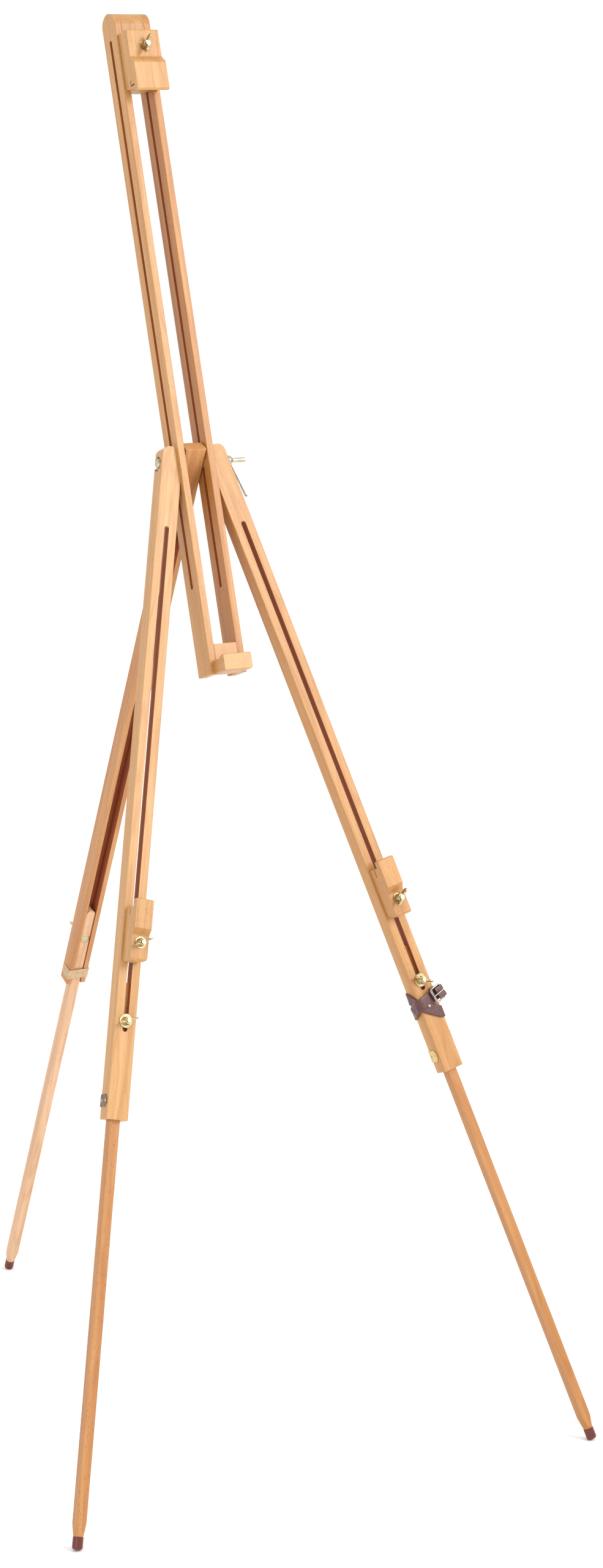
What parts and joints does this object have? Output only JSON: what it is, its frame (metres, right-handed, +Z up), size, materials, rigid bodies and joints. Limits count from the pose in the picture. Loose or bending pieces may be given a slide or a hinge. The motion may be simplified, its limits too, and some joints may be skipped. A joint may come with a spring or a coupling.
{
  "type": "wooden field easel",
  "caption": "Folding beech field easel on three telescopic legs, with a sliding slotted mast, a top clamp, canvas supports, wing nuts, a lever nut and a leather strap.",
  "frame": {"origin": "on the floor, at the centre of the rectangle that the three feet span", "axes": "+X to the easel's right seen from the front, +Y to the rear leg, +Z up"},
  "size_m": [0.782, 1.0504, 1.8862],
  "materials": {
    "beech_mast": "clear oiled, rails side-lit grain",
    "beech_outer_leg": "clear oiled straight grain",
    "beech_inner_leg": "clear oiled, a warmer piece of timber",
    "beech_fittings": "clear oiled, end grain to the front",
    "foot_caps": "dark red-brown, glossy",
    "strap_leather": "soft polished brown",
    "buckle_nickel": "nickel plated",
    "band_dark_steel": "dull rolled steel",
    "band_brass": "bright rolled brass",
    "pins_brass": "bright",
    "brads_steel": "dull",
    "nuts_plated_brass": "pale brass plating",
    "bolts_and_washers": "yellow passivated zinc"
  },
  "bodies": {
    "rear_leg": {"rear_outer_leg": "beech_outer_leg", "rear_leg_band": "band_brass", "rear_band_pins": "pins_brass", "rear_washer_left": "bolts_and_washers"},
    "rear_lower_leg": {"rear_inner_leg": "beech_inner_leg", "rear_foot_cap": "foot_caps", "rear_leg_bolt": "bolts_and_washers", "rear_slide_washer": "bolts_and_washers"},
    "rear_leg_nut": {"rear_wing_nut": "nuts_plated_brass"},
    "mast_saddle": {"rear_washer_right": "bolts_and_washers"},
    "mast": {"left_rail": "beech_mast", "right_rail": "beech_mast", "mast_top_block": "beech_fittings", "mast_bottom_block": "beech_fittings", "mast_brads": "brads_steel"},
    "clamp": {"clamp_head": "beech_fittings", "clamp_cross_bar": "bolts_and_washers", "clamp_bolt": "bolts_and_washers", "clamp_washer": "bolts_and_washers"},
    "clamp_nut": {"clamp_wing_nut": "nuts_plated_brass"},
    "through_bolt": {"pivot_bolt": "bolts_and_washers", "bolt_head_washer": "bolts_and_washers"},
    "nut_seat": {"lever_nut_washer": "bolts_and_washers"},
    "lever": {"lever_nut": "nuts_plated_brass"},
    "roller": {"buckle_roller": "buckle_nickel"},
    "prong": {"buckle_prong": "buckle_nickel"},
    "left_leg_hub": {"left_leg_washer": "bolts_and_washers"},
    "left_leg": {"left_outer_leg": "beech_outer_leg", "left_leg_band": "band_dark_steel", "left_band_pins": "pins_brass"},
    "left_lower_leg": {"left_inner_leg": "beech_inner_leg", "left_foot_cap": "foot_caps", "left_leg_bolt": "bolts_and_washers", "left_slide_washer": "bolts_and_washers"},
    "left_leg_nut": {"left_wing_nut": "nuts_plated_brass"},
    "left_support": {"left_canvas_support": "beech_fittings", "left_support_bolt": "bolts_and_washers", "left_support_washer": "bolts_and_washers"},
    "left_support_nut": {"left_support_wing_nut": "nuts_plated_brass"},
    "right_leg_hub": {"right_leg_washer": "bolts_and_washers"},
    "right_leg": {"right_outer_leg": "beech_outer_leg", "right_leg_band": "band_brass", "right_band_pins": "pins_brass", "strap": "strap_leather", "buckle_frame": "buckle_nickel", "strap_rivet": "buckle_nickel"},
    "right_lower_leg": {"right_inner_leg": "beech_inner_leg", "right_foot_cap": "foot_caps", "right_leg_bolt": "bolts_and_washers", "right_slide_washer": "bolts_and_washers"},
    "right_leg_nut": {"right_wing_nut": "nuts_plated_brass"},
    "right_support": {"right_canvas_support": "beech_fittings", "right_support_bolt": "bolts_and_washers", "right_support_washer": "bolts_and_washers"},
    "right_support_nut": {"right_support_wing_nut": "nuts_plated_brass"}
  },
  "joints": [
    {"name": "mast_tilt", "type": "hinge", "parent": "rear_leg", "child": "mast_saddle", "pos_m": [0, -0.10474, 1.30131], "axis": [1, 0, 0], "range_deg": [-54, 43.3]},
    {"name": "mast_height", "type": "slide", "parent": "mast_saddle", "child": "mast", "axis": [0, 0.304, 0.9527], "range_m": [-0.465, 0.159]},
    {"name": "clamp_height", "type": "slide", "parent": "mast", "child": "clamp", "axis": [0, -0.304, -0.9527], "range_m": [0, 0.46]},
    {"name": "clamp_nut_turn", "type": "hinge", "parent": "clamp", "child": "clamp_nut", "pos_m": [0, 0.01682, 1.84667], "axis": [0, -0.9527, 0.304], "continuous": true},
    {"name": "left_leg_swing", "type": "hinge", "parent": "rear_leg", "child": "left_leg_hub", "pos_m": [0, -0.10474, 1.30131], "axis": [1, 0, 0], "range_deg": [-20, 43.3]},
    {"name": "left_leg_splay", "type": "hinge", "parent": "left_leg_hub", "child": "left_leg", "pos_m": [-0.0265, -0.11335, 1.27435], "axis": [0, -0.9527, 0.304], "range_deg": [0, 13.8]},
    {"name": "left_leg_length", "type": "slide", "parent": "left_leg", "child": "left_lower_leg", "axis": [0.2487, 0.2945, 0.9227], "range_m": [0, 0.53]},
    {"name": "left_wing_nut_turn", "type": "hinge", "parent": "left_lower_leg", "child": "left_leg_nut", "pos_m": [-0.21984, -0.34624, 0.62157], "axis": [0, -0.9527, 0.304], "continuous": true},
    {"name": "left_support_height", "type": "slide", "parent": "left_lower_leg", "child": "left_support", "axis": [-0.2487, -0.2945, -0.9227], "range_m": [-0.54, 0.04]},
    {"name": "left_support_nut_turn", "type": "hinge", "parent": "left_support", "child": "left_support_nut", "pos_m": [-0.19522, -0.33614, 0.71901], "axis": [0, -0.9527, 0.304], "continuous": true},
    {"name": "right_leg_swing", "type": "hinge", "parent": "rear_leg", "child": "right_leg_hub", "pos_m": [0, -0.10474, 1.30131], "axis": [1, 0, 0], "range_deg": [-20, 43.3]},
    {"name": "right_leg_splay", "type": "hinge", "parent": "right_leg_hub", "child": "right_leg", "pos_m": [0.0265, -0.11335, 1.27435], "axis": [0, 0.9527, -0.304], "range_deg": [0, 13.8]},
    {"name": "right_leg_length", "type": "slide", "parent": "right_leg", "child": "right_lower_leg", "axis": [-0.2487, 0.2945, 0.9227], "range_m": [0, 0.53]},
    {"name": "right_wing_nut_turn", "type": "hinge", "parent": "right_lower_leg", "child": "right_leg_nut", "pos_m": [0.21984, -0.34624, 0.62157], "axis": [0, -0.9527, 0.304], "continuous": true},
    {"name": "right_support_height", "type": "slide", "parent": "right_lower_leg", "child": "right_support", "axis": [0.2487, -0.2945, -0.9227], "range_m": [-0.53, 0.04]},
    {"name": "right_support_nut_turn", "type": "hinge", "parent": "right_support", "child": "right_support_nut", "pos_m": [0.19124, -0.33143, 0.73377], "axis": [0, -0.9527, 0.304], "continuous": true},
    {"name": "bolt_shift", "type": "slide", "parent": "rear_leg", "child": "through_bolt", "axis": [-1, 0, 0], "range_m": [0, 0.0094]},
    {"name": "nut_shift", "type": "slide", "parent": "rear_leg", "child": "nut_seat", "axis": [1, 0, 0], "range_m": [0, 0.0094]},
    {"name": "lever_turn", "type": "hinge", "parent": "nut_seat", "child": "lever", "pos_m": [0, -0.10474, 1.30131], "axis": [1, 0, 0], "continuous": true},
    {"name": "rear_leg_length", "type": "slide", "parent": "rear_leg", "child": "rear_lower_leg", "axis": [0, -0.4321, 0.9018], "range_m": [0, 0.55]},
    {"name": "rear_wing_nut_turn", "type": "hinge", "parent": "rear_lower_leg", "child": "rear_leg_nut", "pos_m": [0, 0.26062, 0.59427], "axis": [0, 0.9018, 0.4321], "continuous": true},
    {"name": "roller_turn", "type": "hinge", "parent": "right_leg", "child": "roller", "pos_m": [0.23241, -0.35226, 0.5981], "axis": [-0.4446, 0.2723, 0.8533], "continuous": true},
    {"name": "prong_turn", "type": "hinge", "parent": "right_leg", "child": "prong", "pos_m": [0.24585, -0.35023, 0.60445], "axis": [-0.4446, 0.2723, 0.8533], "range_deg": [0, 85]}
  ],
  "couplings": [
    {"joint": "bolt_shift", "follows": "left_leg_splay", "m_per_rad": 0.038903},
    {"joint": "nut_shift", "follows": "right_leg_splay", "m_per_rad": 0.038903}
  ]
}
